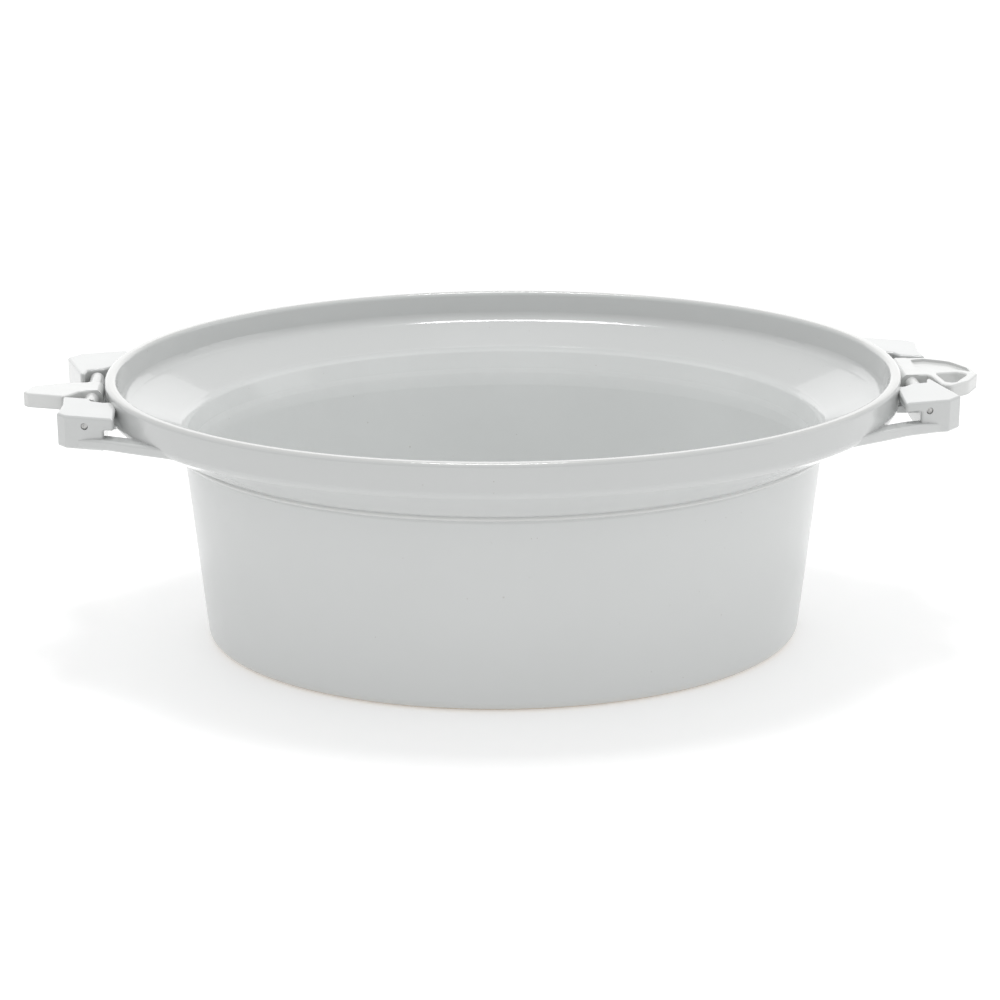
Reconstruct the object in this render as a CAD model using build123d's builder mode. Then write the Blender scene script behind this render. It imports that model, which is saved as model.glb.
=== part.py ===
"""Oval glazed crock with a dished flange and a hinged flip tab at each end.

Millimetres. +X runs along the length, +Z is up, the origin is the centre of the foot.
Each handle is the other one turned half a turn about Z; only the two tabs differ.
"""
import os
from math import cos, radians, sin, tan
from build123d import *

# ---------------------------------------------------------------- vessel
height = 121.0
wall = 5.0
floor_thickness = 6.5

foot_a, foot_b = 133.5, 101.0
body_a, body_b = 142.0, 109.5
body_top = 90.0
foot_round = 4.0

bead_a, bead_b = 146.3, 112.9
bead_bottom = 89.4
bead_top = 91.9
bead_round = 1.1
groove_depth = 0.35

rim_a, rim_b = 175.0, 132.5
skirt_bottom = 107.0
skirt_round = 4.0

# ---------------------------------------------------------------- cavity
flare_height = 84.0
mouth_a, mouth_b = 140.5, 109.0
mouth_height = 98.0
ledge_a, ledge_b = 168.0, 126.8
ledge_height = 108.5
lip_width = 5.0
floor_round = 14.0
flare_round = 30.0
mouth_round = 4.0
ledge_round = 5.0
lip_round = 1.7

# ---------------------------------------------------------------- handles
lug_top = 117.2
lug_bottom = 102.6
lug_round = 1.1
root_x = 166.5
strap_outer_x = 188.1
strap_bottom = 102.4
strap_thickness = 4.6
strap_rise_angle = 4.3
strap_round = 1.2
near_slot_end, near_slot_roof = 176.3, 113.0
far_slot_end, far_slot_roof = 172.0, 111.8
web_bottom = 104.6
web_top = 107.6
web_reach = 184.5
web_near, web_far = -24.0, 28.0
nib_reach = 187.0
nib_gap = 0.5

# ---------------------------------------------------------------- hinges and tabs
pin_x = 180.25
pin_z = 113.0
pin_radius = 1.5
pin_near, pin_far = -47.4, 48.9
pin_chamfer = 0.3
running_gap = 0.08
right_tab_near, right_tab_far = -8.4, 17.8
left_tab_near, left_tab_far = -1.2, 11.2
barrel_radius = 3.1
barrel_near, barrel_far = -19.0, 21.1
heel_radius = 4.9
tab_thickness = 6.2
tab_bottom = lug_top - tab_thickness
tab_round = 0.9
thumb_dish_depth = 1.2

slot_width = 60.0
close_to = 0.01
strap_start_z = strap_bottom + strap_outer_x * tan(radians(strap_rise_angle))
strap_slope = Location((0, 0, strap_start_z), (0, strap_rise_angle, 0))
right_side = Plane.XY
left_side = Plane.XY.rotated((0, 0, 180))


def oval(z, a, b):
    """One horizontal section of the vessel."""
    with BuildSketch(Plane.XY.offset(z)) as section:
        Ellipse(a, b)
    return section.sketch


def edges_at(part, z):
    """The edges of a part that lie wholly in one horizontal plane."""
    flat_edges = [edge for edge in part.edges() if edge.bounding_box().size.Z < close_to]
    return [edge for edge in flat_edges if abs(edge.center().Z - z) < close_to]


def hinge_cylinder(side, radius, near, far):
    """A rod on a hinge axis, made apart from the part that uses it."""
    middle = side.location * Location((pin_x, (near + far) / 2, pin_z), (90, 0, 0))
    return middle * Cylinder(radius, far - near, mode=Mode.PRIVATE)


# ---------------------------------------------------------------- lugs
near_lug_plan = [
    (root_x, -24.5), (173.0, -25.2), (177.6, -21.0), (184.3, -19.6), (186.2, -11.0),
    (195.2, -40.3), (189.4, -46.2), (169.2, -50.4), (169.6, -31.0), (root_x, -30.0),
]
far_lug_plan = [
    (root_x, 29.0), (174.0, 28.6), (178.7, 26.4), (180.8, 22.4), (191.8, 19.3),
    (191.0, 30.0), (192.3, 43.0), (188.8, 46.9), (167.6, 53.4), (167.8, 36.0), (root_x, 34.5),
]
with BuildPart() as lugs:
    for side in (right_side, left_side):
        for plan in (near_lug_plan, far_lug_plan):
            with BuildSketch(side.offset(lug_bottom)):
                with BuildLine():
                    Polyline(*plan, close=True)
                make_face()
            extrude(amount=lug_top - lug_bottom)
    # the lugs are cut away underneath, next to the flange
    for side in (right_side, left_side):
        with BuildSketch(side.offset(lug_bottom)):
            with Locations((near_slot_end - slot_width / 2, -slot_width / 2)):
                Rectangle(slot_width, slot_width)
        extrude(amount=near_slot_roof - lug_bottom, mode=Mode.SUBTRACT)
        with BuildSketch(side.offset(lug_bottom)):
            with Locations((far_slot_end - slot_width / 2, slot_width / 2)):
                Rectangle(slot_width, slot_width)
        extrude(amount=far_slot_roof - lug_bottom, mode=Mode.SUBTRACT)
    fillet(lugs.edges(), lug_round)

# ---------------------------------------------------------------- straps from the lugs back to the flange
near_strap_plan = [
    (189.2, -45.2), (171.5, -54.5), (158.0, -64.5), (147.0, -72.2), (136.0, -80.5),
    (133.0, -76.0), (142.0, -66.5), (155.0, -56.8), (170.0, -47.0), (187.0, -40.0),
]
far_strap_plan = [
    (189.0, 45.8), (171.5, 55.0), (158.0, 64.8), (147.0, 72.3), (136.0, 80.5),
    (133.0, 76.0), (142.0, 66.5), (155.0, 57.1), (170.0, 47.5), (187.0, 40.0),
]
with BuildPart() as straps:
    for side in (right_side, left_side):
        for plan in (near_strap_plan, far_strap_plan):
            with BuildSketch(Plane(side.location * strap_slope)):
                with BuildLine():
                    Polyline(*plan, close=True)
                make_face()
            extrude(amount=strap_thickness)
    fillet(straps.edges(), strap_round)

# ---------------------------------------------------------------- bowl and dish, as the space inside
lip_a, lip_b = rim_a - lip_width, rim_b - lip_width
lip_flare = []
for angle in (0, 30, 60, 90):
    out = lip_round * (1 - cos(radians(angle)))
    lip_flare.append(oval(height - lip_round + lip_round * sin(radians(angle)), lip_a + out, lip_b + out))

with BuildPart() as cavity:
    bowl_floor = oval(floor_thickness, foot_a - wall, foot_b - wall)
    bowl_top = oval(flare_height, body_a - wall, body_b - wall)
    loft([bowl_floor, bowl_top], ruled=True)
    mouth = oval(mouth_height, mouth_a, mouth_b)
    loft([bowl_top, mouth], ruled=True)
    ledge = oval(ledge_height, ledge_a, ledge_b)
    loft([mouth, ledge], ruled=True)
    loft([ledge, lip_flare[0]], ruled=True)
    loft(lip_flare)
    fillet(edges_at(cavity, floor_thickness), floor_round)
    fillet(edges_at(cavity, flare_height), flare_round)
    fillet(edges_at(cavity, ledge_height), ledge_round)
    fillet(edges_at(cavity, mouth_height), mouth_round)

# ---------------------------------------------------------------- outside of the vessel
with BuildPart() as flange:
    flange_root = oval(bead_top - groove_depth, bead_a - groove_depth, bead_b - groove_depth)
    skirt_edge = oval(skirt_bottom, rim_a, rim_b)
    loft([flange_root, skirt_edge], ruled=True)
    loft([skirt_edge, oval(height, rim_a, rim_b)], ruled=True)
    fillet(edges_at(flange, skirt_bottom), skirt_round)
    fillet(edges_at(flange, height), lip_round)

with BuildPart() as bead:
    with BuildSketch(Plane.XY.offset(bead_bottom)):
        Ellipse(bead_a, bead_b)
    extrude(amount=bead_top - bead_bottom)
    fillet(bead.edges(), bead_round)

with BuildPart() as vessel:
    loft([oval(0, foot_a, foot_b), oval(body_top, body_a, body_b)], ruled=True)
    fillet(edges_at(vessel, 0), foot_round)
    add(bead.part)
    add(flange.part)
    add(cavity.part, mode=Mode.SUBTRACT)

# ---------------------------------------------------------------- handles, trimmed to the outside of the bowl
with BuildPart() as handles:
    add(lugs.part)
    add(straps.part)
    for side in (right_side, left_side):
        with BuildSketch(side.offset(web_bottom)):
            with Locations(((root_x + web_reach) / 2, (web_near + web_far) / 2)):
                Rectangle(web_reach - root_x, web_far - web_near)
        extrude(amount=web_top - web_bottom)
        with BuildSketch(side.offset(web_bottom)):
            with Locations(((web_reach + nib_reach) / 2, 0)):
                Rectangle(nib_reach - web_reach, -2 * web_near)
        extrude(amount=tab_bottom - nib_gap - web_bottom)
        add(hinge_cylinder(side, pin_radius, 2 * pin_near, 2 * pin_far), mode=Mode.SUBTRACT)
    add(cavity.part, mode=Mode.SUBTRACT)

with BuildPart() as crock:
    add(vessel.part)
    add(handles.part)

# ---------------------------------------------------------------- hinge pins
def hinge_pin(side):
    """A plain rod through the two lugs of one handle."""
    with BuildPart() as pin:
        add(hinge_cylinder(side, pin_radius, pin_near, pin_far))
        chamfer(pin.edges().filter_by(GeomType.CIRCLE), pin_chamfer)
    return pin.part


def tab_hub(side, near, far):
    """The rounded heel and the barrel that turn on the pin."""
    with BuildPart() as hub:
        add(hinge_cylinder(side, heel_radius, near, far))
        with BuildSketch(side.offset(tab_bottom)):
            with Locations((pin_x, (near + far) / 2)):
                Rectangle(4 * heel_radius, 2 * (far - near))
        extrude(amount=tab_thickness, mode=Mode.INTERSECT)
        add(hinge_cylinder(side, barrel_radius, barrel_near, barrel_far))
    return hub.part


# ---------------------------------------------------------------- right tab, with its loop and thumb dish
right_tab_plan = [
    (pin_x, right_tab_far), (pin_x, right_tab_near), (187.2, right_tab_near), (188.5, -10.5),
    (190.7, -23.0), (194.5, -25.4), (203.6, -18.6), (209.7, -8.0), (208.6, 1.0), (202.0, 12.5),
    (190.6, right_tab_far),
]
right_tab_corners = [0, 0, 0.8, 1, 1.5, 2.5, 8, 4, 8, 12, 3]
loop_plan = [(191.2, -6.6), (201.8, -5.2), (205.0, -8.6), (196.6, -20.8), (193.2, -19.6)]
loop_corners = [1.5, 2.5, 2, 2, 1.5]
thumb_dish_plan = [
    (184.0, 14.6), (184.0, -4.0), (203.6, -2.8), (207.0, -5.6), (206.8, 0.6), (200.6, 11.2), (190.2, 15.8),
]
thumb_dish_corners = [1.5, 1.5, 1, 0.6, 6, 10, 2]

with BuildPart() as right_tab:
    with BuildSketch(right_side.offset(tab_bottom)):
        with BuildLine():
            FilletPolyline(*right_tab_plan, radius=right_tab_corners, close=True)
        make_face()
        with BuildLine():
            FilletPolyline(*loop_plan, radius=loop_corners, close=True)
        make_face(mode=Mode.SUBTRACT)
    extrude(amount=tab_thickness)
    fillet(edges_at(right_tab, lug_top), tab_round)
    with BuildSketch(right_side.offset(lug_top - thumb_dish_depth)):
        with BuildLine():
            FilletPolyline(*thumb_dish_plan, radius=thumb_dish_corners, close=True)
        make_face()
    extrude(amount=thumb_dish_depth, mode=Mode.SUBTRACT)
    add(tab_hub(right_side, right_tab_near, right_tab_far))
    add(hinge_cylinder(right_side, pin_radius + running_gap, pin_near, pin_far), mode=Mode.SUBTRACT)

# ---------------------------------------------------------------- left tab, plain
left_tab_plan = [
    (pin_x, left_tab_near), (193.0, -1.6), (206.3, 2.6), (209.7, 11.5), (207.5, 14.4), (192.6, 18.9),
    (189.5, 17.6), (185.3, 12.2), (pin_x, left_tab_far),
]
left_tab_corners = [0, 6, 3, 1.5, 1.5, 1.5, 3, 2, 0]

with BuildPart() as left_tab:
    with BuildSketch(left_side.offset(tab_bottom)):
        with BuildLine():
            FilletPolyline(*left_tab_plan, radius=left_tab_corners, close=True)
        make_face()
    extrude(amount=tab_thickness)
    fillet(edges_at(left_tab, lug_top), tab_round)
    add(tab_hub(left_side, left_tab_near, left_tab_far))
    add(hinge_cylinder(left_side, pin_radius + running_gap, pin_near, pin_far), mode=Mode.SUBTRACT)

left_hinge_pin = hinge_pin(left_side)
right_hinge_pin = hinge_pin(right_side)

# ---------------------------------------------------------------- the five pieces
os.makedirs("parts", exist_ok=True)
crock.part.label = "crock"
export_step(crock.part, "parts/crock.step")
left_tab.part.label = "left_tab"
export_step(left_tab.part, "parts/left_tab.step")
right_tab.part.label = "right_tab"
export_step(right_tab.part, "parts/right_tab.step")
left_hinge_pin.label = "left_hinge_pin"
export_step(left_hinge_pin, "parts/left_hinge_pin.step")
right_hinge_pin.label = "right_hinge_pin"
export_step(right_hinge_pin, "parts/right_hinge_pin.step")
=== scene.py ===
"""Dresses an oval pot and its flip tabs: glaze, moulded resin, turned pins, a pale studio."""

import bpy
from bpy.props import FloatProperty, FloatVectorProperty, PointerProperty
from mathutils import Matrix, Vector


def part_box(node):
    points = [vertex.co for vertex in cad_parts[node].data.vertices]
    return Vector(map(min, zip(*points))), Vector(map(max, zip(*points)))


bl_info = {
    "name": "Oval Pot Dresser",
    "version": (1, 0, 0),
    "blender": (4, 5, 0),
    "location": "View3D > Sidebar > Oval Pot",
    "description": "Glazes an oval pot, finishes its flip tabs and pins, and sets up a pale studio",
    "category": "Object",
}

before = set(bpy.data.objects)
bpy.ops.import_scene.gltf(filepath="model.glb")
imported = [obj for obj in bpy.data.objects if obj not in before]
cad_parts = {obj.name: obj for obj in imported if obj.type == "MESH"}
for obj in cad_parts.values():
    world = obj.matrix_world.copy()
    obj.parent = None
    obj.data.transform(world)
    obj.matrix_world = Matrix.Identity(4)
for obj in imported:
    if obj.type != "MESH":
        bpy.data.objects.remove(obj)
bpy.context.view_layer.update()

MM = 0.001

# the pot, as the CAD has it
RIM_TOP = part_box("crock")[1].z
PIN_X, _, PIN_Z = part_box("right_hinge_pin")[0].lerp(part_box("right_hinge_pin")[1], 0.5)
BEAD_BOTTOM, BEAD_TOP = 89.4 * MM, 91.9 * MM
FOOT_A, FOOT_B = 133.5 * MM, 101.0 * MM
DRAFT = 8.5 / 90.0
HALF_WALL = 2.5 * MM
BOWL_TOP, MOUTH = 84.0 * MM, 98.0 * MM
FLARE = 9.0 * MM

# the glaze: how often its patterns repeat, in cycles over a metre
DRIFT_SCALE, WAVE_SCALE, GRAIN_SCALE = 14.0, 60.0, 900.0
FLECK_SCALE, SPECK_SCALE, PINHOLE_SCALE = 150.0, 420.0, 260.0
# the share of pattern cells that hold one
FLECK_SHARE, SPECK_SHARE, PINHOLE_SHARE = 0.035, 0.02, 0.05
# how far out from a cell's middle a spot is full, and where it is gone
FLECK_REACH, SPECK_REACH, PINHOLE_REACH = (0.03, 0.09), (0.05, 0.12), (0.02, 0.11)
# painted light and shade: the flange's glaze is darkened with painted shade, the bowl's inside
# lightened with painted light; the third darkens drift and painted shade
FLANGE_PAINTED_SHADE, BOWL_PAINTED_LIGHT, DRIFT_AND_SHADE_TINT, CLAY_TINT = 0.92, 1.2, 0.9, 0.8
LIP_THIN, BEAD_THIN, FOOT_THIN = 0.45, 0.35, 0.8
# painted shade: its strength under the bead and in the groove over it, and how far it darkens; the
# drift tone is the glaze's own
SHADE_UNDER_BEAD, SHADE_IN_GROOVE = 1.6, 0.4
DRIFT_TONE, SHADE_TONE = 0.2, 0.6
FLECK_TONE, SPECK_TONE, PINHOLE_TONE = 0.28, 0.5, 0.18
FLANGE_ROUGH, BODY_ROUGH, DRIFT_ROUGH, CLAY_ROUGH = 0.12, 0.16, 0.05, 0.6
GLAZE_GLOSS, BODY_DULLING, WAVE_GLOSS = 0.5, 0.5, 0.06
LINE_WANDER, LINE_BLUR = 1.2 * MM, 0.15 * MM
FLECK_COLOUR = (0.23, 0.19, 0.15)
PINHOLE_COLOUR = (0.45, 0.42, 0.38)
PIT_DEPTH, CLAY_DEPTH = 0.00010, 0.00020

# the tabs' resin
FLOW_SCALE, MOULD_GRAIN_SCALE, ORANGE_PEEL_SCALE, SCUFF_SCALE = 70.0, 2600.0, 420.0, 520.0
FLOW_STRETCH, SCUFF_STRETCH = (0.35, 1.4, 1.0), (0.12, 1.0, 1.0)
FLOW_TINT = 0.95
SCUFF_COLOUR = (0.55, 0.55, 0.53)
ORANGE_PEEL_DEPTH = 0.00002
FLOW_TONE, SCUFF_TONE = 0.6, 0.12
RESIN_ROUGH, FLOW_ROUGH, UNDER_ROUGH, SCUFF_ROUGH = 0.30, 0.06, 0.22, 0.15
RESIN_GLOSS, TOP_GRAIN = 0.55, 0.25

# the pins' steel: tool marks in radians over a metre, across the pin and along it
MARKS_ACROSS, MARKS_ALONG = 42000.0, 26000.0
STAIN_SCALE, STAIN_TINT = 900.0, 0.62
MARK_DEPTH = 0.00003
STEEL_ROUGH, STAIN_ROUGH = 0.26, 0.22

# the studio
FLOOR_RADIUS, FLOOR_DROP = 14.0, 0.0002
FLOOR_SIDES = 96
MOTTLING_SCALE, MOTTLING_TINT = 3.0, 0.985
EYE_PLACE = (-0.0674, -1.1483, 0.4672)
EYE_AHEAD = (0.0537, 0.9409, -0.3344)
EYE_UP = (0.019, 0.334, 0.942)


# ------------------------------------------------------------------ material sheets
class Value:
    """A socket in a material. Arithmetic on it adds Math nodes, so masks are expressions."""

    def __init__(self, sheet, socket):
        self.sheet = sheet
        self.socket = socket

    def math(self, operation, *values):
        return self.sheet.node("ShaderNodeMath", {"operation": operation}, dict(enumerate(values)))

    def __add__(self, other):
        return self.math("ADD", self, other)

    def __radd__(self, other):
        return self.math("ADD", other, self)

    def __sub__(self, other):
        return self.math("SUBTRACT", self, other)

    def __rsub__(self, other):
        return self.math("SUBTRACT", other, self)

    def __mul__(self, other):
        return self.math("MULTIPLY", self, other)

    def __rmul__(self, other):
        return self.math("MULTIPLY", other, self)

    def __truediv__(self, other):
        return self.math("DIVIDE", self, other)

    def __pow__(self, power):
        return self.math("POWER", self, power)

    def below(self, limit):
        return self.math("LESS_THAN", self, limit)

    def root(self):
        return self.math("SQRT", self)

    def sine(self):
        return self.math("SINE", self)

    def rise(self, low, high):
        """0 under low, 1 over high, and smooth between them."""
        return self.sheet.node(
            "ShaderNodeMapRange", {"interpolation_type": "SMOOTHSTEP"},
            {"Value": self, "From Min": low, "From Max": high})

    def band(self, low, high, edge):
        """1 between low and high, fading out over edge beyond them."""
        return self.rise(low - edge, low) * (1 - self.rise(high, high + edge))


class Sheet:
    """One material being built, with its Principled shader."""

    def __init__(self, name, **constants):
        self.material = bpy.data.materials.new(name)
        self.material.use_nodes = True
        self.tree = self.material.node_tree
        self.shader = self.tree.nodes["Principled BSDF"]
        for socket, value in constants.items():
            name = socket.replace("_", " ").title().replace("Ior", "IOR")
            self.shader.inputs[name].default_value = value
        self.place = self.node("ShaderNodeTexCoord", output="Object")
        self.x, self.y, self.z = (
            self.node("ShaderNodeSeparateXYZ", sockets={"Vector": self.place}, output=axis)
            for axis in "XYZ")

    def node(self, kind, settings=None, sockets=None, output=0):
        """Adds a node, sets its settings, fills its sockets, and returns one of its outputs."""
        made = self.tree.nodes.new(kind)
        for key, value in (settings or {}).items():
            setattr(made, key, value)
        for key, value in (sockets or {}).items():
            if isinstance(value, Value):
                self.tree.links.new(value.socket, made.inputs[key])
            else:
                made.inputs[key].default_value = value
        return Value(self, made.outputs[output])

    def noise(self, scale, detail=2.0, roughness=0.5, place=None):
        return self.node("ShaderNodeTexNoise", None, {
            "Vector": place or self.place, "Scale": scale,
            "Detail": detail, "Roughness": roughness}, "Fac")

    def spots(self, scale, share, reach):
        """1 in round spots, one in each of the given share of the cells, fading over reach."""
        cell = {"Vector": self.place, "Scale": scale}
        distance = self.node("ShaderNodeTexVoronoi", None, cell, "Distance")
        pick = self.red(self.node("ShaderNodeTexVoronoi", None, cell, "Color"))
        return (1 - distance.rise(*reach)) * pick.below(share)

    def stretched(self, scale):
        """The object's own place, scaled by a different amount along each axis."""
        return self.node(
            "ShaderNodeMapping", None, {"Vector": self.place, "Scale": scale}, "Vector")

    def red(self, colour):
        return self.node("ShaderNodeSeparateColor", None, {"Color": colour}, "Red")

    def blend(self, factor, first, second):
        """Mixes two colours. A Mix node's colours are its sockets 6 and 7, and its output 2."""
        return self.node(
            "ShaderNodeMix", {"data_type": "RGBA"}, {0: factor, 6: first, 7: second}, 2)

    def bump(self, height, distance, strength=1.0, normal=None):
        sockets = {"Height": height, "Distance": distance, "Strength": strength}
        if normal is not None:
            sockets["Normal"] = normal
        return self.node("ShaderNodeBump", None, sockets, "Normal")

    def feed(self, **varying):
        for socket, value in varying.items():
            self.tree.links.new(value.socket, self.shader.inputs[socket.replace("_", " ").title()])
        return self.material


def tint(colour, factor=1.0):
    """A colour made darker or lighter, with the alpha that a colour socket wants."""
    return (*(factor * channel for channel in colour), 1)


def dress(piece, material):
    """Gives every face of a piece one material."""
    piece.data.materials.clear()
    piece.data.materials.append(material)


# ------------------------------------------------------------------ settings
class PotGlazeSettings(bpy.types.PropertyGroup):
    colour: FloatVectorProperty(
        name="Glaze", description="Colour of the white glaze", subtype="COLOR", size=3,
        min=0, max=1, default=(0.62, 0.632, 0.628))
    thin_colour: FloatVectorProperty(
        name="Thin glaze", description="Colour where the glaze runs thin over an edge",
        subtype="COLOR", size=3, min=0, max=1, default=(0.58, 0.58, 0.56))
    biscuit_colour: FloatVectorProperty(
        name="Biscuit", description="Colour of the bare fired clay under the foot",
        subtype="COLOR", size=3, min=0, max=1, default=(0.60, 0.53, 0.44))
    ripple: FloatProperty(
        name="Ripple", description="Depth of the slow waves in the glaze", unit="LENGTH",
        default=0.00022, min=0)
    glaze_line: FloatProperty(
        name="Glaze line", description="Height over the foot where the glaze stops", unit="LENGTH",
        default=0.0011, min=0)


class PotHardwareSettings(bpy.types.PropertyGroup):
    resin_colour: FloatVectorProperty(
        name="Resin", description="Colour of the moulded flip tabs", subtype="COLOR", size=3,
        min=0, max=1, default=(0.66, 0.668, 0.66))
    steel_colour: FloatVectorProperty(
        name="Pin steel", description="Colour of the turned hinge pins", subtype="COLOR", size=3,
        min=0, max=1, default=(0.56, 0.56, 0.55))
    grain: FloatProperty(
        name="Grain", description="Depth of the moulded grain on the tabs", unit="LENGTH",
        default=0.00002, min=0)


class PotStageSettings(bpy.types.PropertyGroup):
    floor_colour: FloatVectorProperty(
        name="Floor", description="Colour of the studio floor", subtype="COLOR", size=3,
        min=0, max=1, default=(0.82, 0.82, 0.82))
    key_power: FloatProperty(
        name="Top light", description="Power of the light overhead", unit="POWER",
        default=5.5, min=0)
    back_power: FloatProperty(
        name="Back light", description="Power of the panel behind", unit="POWER",
        default=15.0, min=0)
    side_power: FloatProperty(
        name="Side light", description="Power of the light at the right", unit="POWER",
        default=1.5, min=0)
    floor_glow: FloatProperty(
        name="Light table", description="Light given off by the floor",
        default=0.31, min=0)
    sky: FloatProperty(
        name="Room", description="Strength of the light from the room",
        default=0.76, min=0)
    lens: FloatProperty(
        name="Lens", description="Focal length of the camera", unit="CAMERA",
        default=97.89, min=1)


# ------------------------------------------------------------------ operators
class POT_OT_glaze(bpy.types.Operator):
    """Glaze the pot, thin over its edges and bare under its foot"""
    bl_idname = "pot.glaze"
    bl_label = "Glaze the pot"

    def execute(self, context):
        settings = context.scene.pot_glaze
        sheet = Sheet("white_glaze", roughness=0.3, coat_roughness=0.03, coat_ior=1.5, ior=1.45)
        x, y, z = sheet.x, sheet.y, sheet.z
        drift = sheet.noise(DRIFT_SCALE, 3.0)
        waves = sheet.noise(WAVE_SCALE, 1.0)
        grain = sheet.noise(GRAIN_SCALE, 3.0, 0.6)

        # reach is 1 at the middle of the wall's thickness: the bowl is inside it, the bead outside
        wall = z * DRAFT + z.rise(BOWL_TOP, MOUTH) * FLARE
        reach = ((x / (wall + FOOT_A - HALF_WALL)) ** 2.0
                 + (y / (wall + FOOT_B - HALF_WALL)) ** 2.0)
        outside = reach.rise(1.0, 1.01)
        # the inside of the bowl, which is lightened with painted light
        inside = (1 - reach.rise(0.99, 1.0)) * (1 - z.rise(MOUTH - 1.5 * MM, MOUTH + 1.5 * MM))
        # the flange, which is darkened with painted shade
        flange = z.rise(BEAD_BOTTOM, BEAD_BOTTOM + 8.0 * MM)

        # under the foot the glaze stops in a slightly wandering line
        line = settings.glaze_line
        bare = 1 - (z + (drift - 0.5) * LINE_WANDER).rise(line - LINE_BLUR, line + LINE_BLUR)
        # it runs thin over the lip, the bead and the rounded edge of the foot
        lip = z.rise(RIM_TOP - 1.0 * MM, RIM_TOP - 0.1 * MM)
        bead = z.band(BEAD_BOTTOM + 0.7 * MM, BEAD_TOP - 0.9 * MM, 0.5 * MM) * outside
        foot = 1 - z.rise(1.2 * MM, 5.0 * MM)
        thin = (lip * LIP_THIN + bead * BEAD_THIN + foot * FOOT_THIN) * (drift * 0.8 + 0.5)
        # painted shade darkens it under the bead, with a little in the groove over it
        shade_under_bead = z.band(BEAD_BOTTOM - 1.6 * MM, BEAD_BOTTOM, 0.9 * MM)
        shade_in_groove = z.band(BEAD_TOP - 0.2 * MM, BEAD_TOP + 0.9 * MM, 0.8 * MM)
        painted_shade = (shade_under_bead * SHADE_UNDER_BEAD + shade_in_groove * SHADE_IN_GROOVE) * outside

        flecks = sheet.spots(FLECK_SCALE, FLECK_SHARE, FLECK_REACH)
        specks = sheet.spots(SPECK_SCALE, SPECK_SHARE, SPECK_REACH)
        pinholes = sheet.spots(PINHOLE_SCALE, PINHOLE_SHARE, PINHOLE_REACH)

        # painted shade darkens the flange's glaze, and painted light lightens the inside of the
        # bowl
        glaze = sheet.blend(flange, tint(settings.colour), tint(settings.colour, FLANGE_PAINTED_SHADE))
        glaze = sheet.blend(inside, glaze, tint(settings.colour, BOWL_PAINTED_LIGHT))
        # one darker colour serves the glaze's random drift and the painted shade under the bead
        drift_and_shade_colour = tint(settings.colour, DRIFT_AND_SHADE_TINT)
        colour = sheet.blend(drift.rise(0.25, 0.8) * DRIFT_TONE + painted_shade * SHADE_TONE, glaze, drift_and_shade_colour)
        colour = sheet.blend(thin, colour, tint(settings.thin_colour))
        spotting = flecks * FLECK_TONE + specks * SPECK_TONE
        colour = sheet.blend(spotting, colour, tint(FLECK_COLOUR))
        colour = sheet.blend(pinholes * PINHOLE_TONE, colour, tint(PINHOLE_COLOUR))
        clay = sheet.blend(grain.rise(0.35, 0.7), tint(settings.biscuit_colour),
                           tint(settings.biscuit_colour, CLAY_TINT))
        colour = sheet.blend(bare, colour, clay)

        body = 1 - z.rise(BEAD_BOTTOM - 1.0 * MM, BEAD_BOTTOM + 1.0 * MM)
        roughness = (FLANGE_ROUGH + body * BODY_ROUGH + drift * DRIFT_ROUGH
                     + bare * CLAY_ROUGH)
        gloss = ((1 - bare) * (1 - body * BODY_DULLING)
                 * (GLAZE_GLOSS + waves * WAVE_GLOSS))
        relief = sheet.bump(waves, settings.ripple)
        pits = pinholes * -1.0 + flecks * 0.35 + grain * 0.02
        relief = sheet.bump(pits, PIT_DEPTH, 0.8, relief)
        relief = sheet.bump(grain * bare, CLAY_DEPTH, 0.9, relief)
        dress(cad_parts["crock"], sheet.feed(
            base_color=colour, roughness=roughness, coat_weight=gloss, normal=relief))
        return {"FINISHED"}


class POT_OT_tabs(bpy.types.Operator):
    """Finish the two flip tabs as glossy moulded resin"""
    bl_idname = "pot.tabs"
    bl_label = "Finish the flip tabs"

    def execute(self, context):
        settings = context.scene.pot_hardware
        sheet = Sheet("moulded_resin", coat_roughness=0.12, coat_ior=1.46, ior=1.5)
        flow = sheet.noise(FLOW_SCALE, 2.0, place=sheet.stretched(FLOW_STRETCH))
        grain = sheet.noise(MOULD_GRAIN_SCALE, 2.0, 0.55)
        orange_peel = sheet.noise(ORANGE_PEEL_SCALE, 1.0)
        scuffs = sheet.noise(SCUFF_SCALE, 3.0, 0.7, sheet.stretched(SCUFF_STRETCH)).rise(0.66, 0.8)
        resin, dull = tint(settings.resin_colour), tint(settings.resin_colour, FLOW_TINT)
        colour = sheet.blend(flow.rise(0.3, 0.75) * FLOW_TONE, resin, dull)
        colour = sheet.blend(scuffs * SCUFF_TONE, colour, tint(SCUFF_COLOUR))
        # the underside, away from the polished half of the mould, keeps a fine spark-eroded grain
        under = 1 - sheet.z.rise(PIN_Z - 1.6 * MM, PIN_Z - 0.8 * MM)
        roughness = (RESIN_ROUGH + flow * FLOW_ROUGH + under * UNDER_ROUGH
                     + scuffs * SCUFF_ROUGH)
        gloss = (1 - under) * RESIN_GLOSS
        relief = sheet.bump(orange_peel, ORANGE_PEEL_DEPTH, 0.7)
        relief = sheet.bump(grain * (TOP_GRAIN + under), settings.grain, 0.8, relief)
        material = sheet.feed(
            base_color=colour, roughness=roughness, coat_weight=gloss, normal=relief)
        for name in ("left_tab", "right_tab"):
            dress(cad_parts[name], material)
        return {"FINISHED"}


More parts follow.
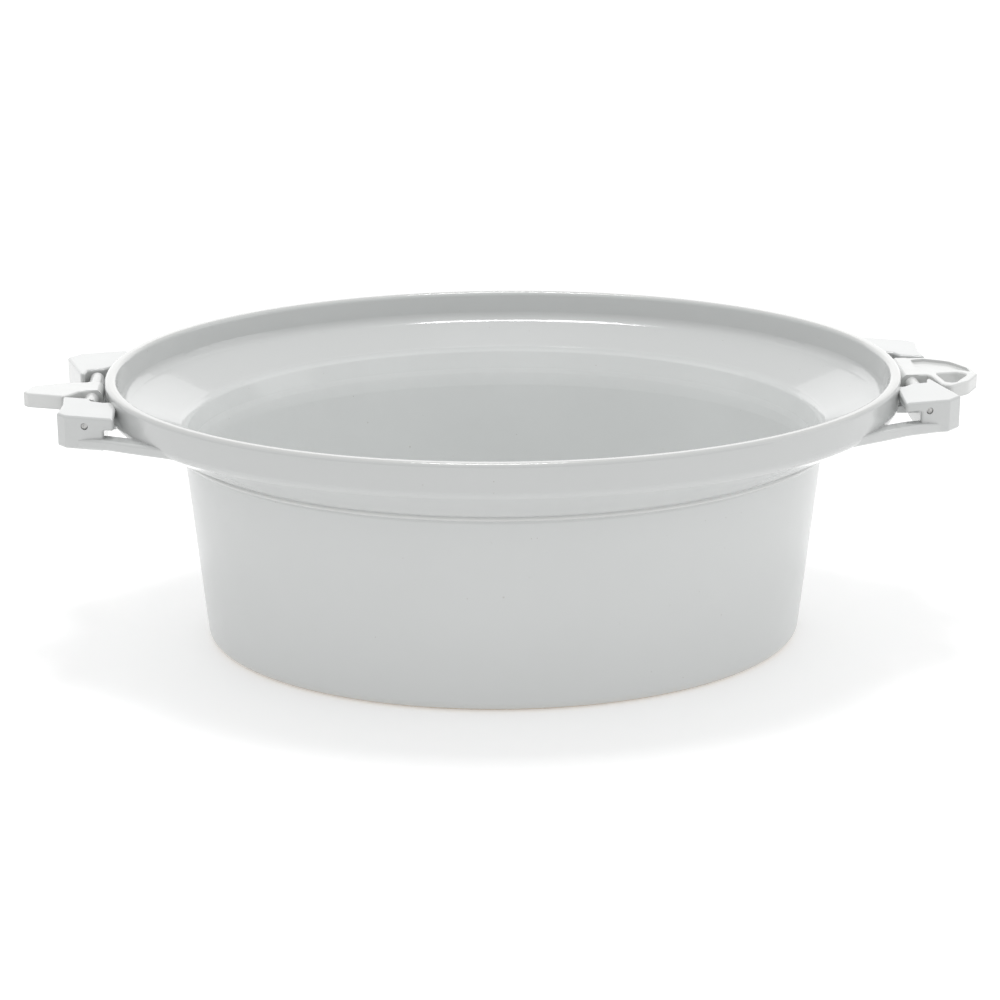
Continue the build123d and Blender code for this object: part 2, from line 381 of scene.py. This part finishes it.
class POT_OT_pins(bpy.types.Operator):
    """Finish the hinge pins as turned steel"""
    bl_idname = "pot.pins"
    bl_label = "Finish the hinge pins"

    def execute(self, context):
        settings = context.scene.pot_hardware
        for side, centre in (("left", -PIN_X), ("right", PIN_X)):
            sheet = Sheet(side + "_turned_steel", metallic=1.0)
            radius = ((sheet.x - centre) ** 2.0 + (sheet.z - PIN_Z) ** 2.0).root()
            turned = (radius * MARKS_ACROSS + sheet.y * MARKS_ALONG).sine()
            stain = sheet.noise(STAIN_SCALE, 3.0)
            colour = sheet.blend(stain.rise(0.4, 0.75), tint(settings.steel_colour),
                                 tint(settings.steel_colour, STAIN_TINT))
            roughness = STEEL_ROUGH + stain * STAIN_ROUGH
            relief = sheet.bump(turned * 0.5 + 0.5, MARK_DEPTH, 0.6)
            dress(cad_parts[side + "_hinge_pin"], sheet.feed(
                base_color=colour, roughness=roughness, normal=relief))
        return {"FINISHED"}


class POT_OT_stage(bpy.types.Operator):
    """Lay the pale floor, hang the soft lights and place the camera"""
    bl_idname = "pot.stage"
    bl_label = "Set up the studio"

    def light(self, name, place, target, width, depth, power):
        lamp = bpy.data.lights.new(name, "AREA")
        lamp.shape = "RECTANGLE"
        lamp.size, lamp.size_y, lamp.energy = width, depth, power
        made = bpy.data.objects.new(name, lamp)
        bpy.context.scene.collection.objects.link(made)
        made.location = place
        made.visible_camera = False
        made.rotation_mode = "QUATERNION"
        made.rotation_quaternion = (Vector(target) - Vector(place)).to_track_quat("-Z", "Y")

    def execute(self, context):
        settings = context.scene.pot_stage
        bpy.ops.object.select_all(action="DESELECT")
        bpy.ops.mesh.primitive_circle_add(
            vertices=FLOOR_SIDES, radius=FLOOR_RADIUS, fill_type="NGON",
            location=(0, 0, -FLOOR_DROP))
        floor = bpy.context.object
        floor.name = "studio_floor"
        sheet = Sheet("pale_floor", roughness=0.85, emission_strength=settings.floor_glow,
                      emission_color=(1, 1, 1, 1))
        mottling = sheet.noise(MOTTLING_SCALE, 3.0)
        colour = sheet.blend(mottling, tint(settings.floor_colour),
                             tint(settings.floor_colour, MOTTLING_TINT))
        floor.data.materials.append(sheet.feed(base_color=colour))

        self.light("top_softbox", (0, 0.12, 1.3), (0, 0, 0.1), 0.36, 0.30, settings.key_power)
        self.light("back_panel", (0, 2.2, 0.76), (0, 0, 0.1), 4.4, 1.5, settings.back_power)
        self.light("right_softbox", (1.5, -0.3, 0.5), (0, 0, 0.06), 0.9, 0.9, settings.side_power)

        room = bpy.data.worlds.new("pale_room")
        room.use_nodes = True
        background = room.node_tree.nodes["Background"]
        background.inputs["Color"].default_value = (1, 1, 1, 1)
        background.inputs["Strength"].default_value = settings.sky
        context.scene.world = room
        context.scene.view_settings.view_transform = "Standard"

        eye = bpy.data.objects.new("camera", bpy.data.cameras.new("camera"))
        context.scene.collection.objects.link(eye)
        eye.data.sensor_width = 36.0
        eye.data.lens = settings.lens
        eye.data.clip_start = 0.05
        ahead = Vector(EYE_AHEAD).normalized()
        across = ahead.cross(Vector(EYE_UP)).normalized()
        upward = across.cross(ahead)
        turn = Matrix((across, upward, -ahead)).transposed().to_4x4()
        eye.matrix_world = Matrix.Translation(EYE_PLACE) @ turn
        context.scene.camera = eye
        return {"FINISHED"}


class POT_PT_panel(bpy.types.Panel):
    """The pot's steps and settings"""
    bl_idname = "POT_PT_panel"
    bl_label = "Oval Pot"
    bl_space_type = "VIEW_3D"
    bl_region_type = "UI"
    bl_category = "Oval Pot"

    def draw(self, context):
        scene = context.scene
        steps = ((POT_OT_glaze, scene.pot_glaze), (POT_OT_tabs, scene.pot_hardware),
                 (POT_OT_pins, None), (POT_OT_stage, scene.pot_stage))
        for step, settings in steps:
            box = self.layout.box()
            box.operator(step.bl_idname)
            for key in settings.__annotations__ if settings else ():
                box.prop(settings, key)


CLASSES = (PotGlazeSettings, PotHardwareSettings, PotStageSettings,
           POT_OT_glaze, POT_OT_tabs, POT_OT_pins, POT_OT_stage, POT_PT_panel)


def register():
    for item in CLASSES:
        bpy.utils.register_class(item)
    bpy.types.Scene.pot_glaze = PointerProperty(type=PotGlazeSettings)
    bpy.types.Scene.pot_hardware = PointerProperty(type=PotHardwareSettings)
    bpy.types.Scene.pot_stage = PointerProperty(type=PotStageSettings)


def unregister():
    del bpy.types.Scene.pot_stage
    del bpy.types.Scene.pot_hardware
    del bpy.types.Scene.pot_glaze
    for item in reversed(CLASSES):
        bpy.utils.unregister_class(item)


def main():
    register()
    bpy.ops.pot.glaze()
    bpy.ops.pot.tabs()
    bpy.ops.pot.pins()
    bpy.ops.pot.stage()


if __name__ == "__main__":
    main()
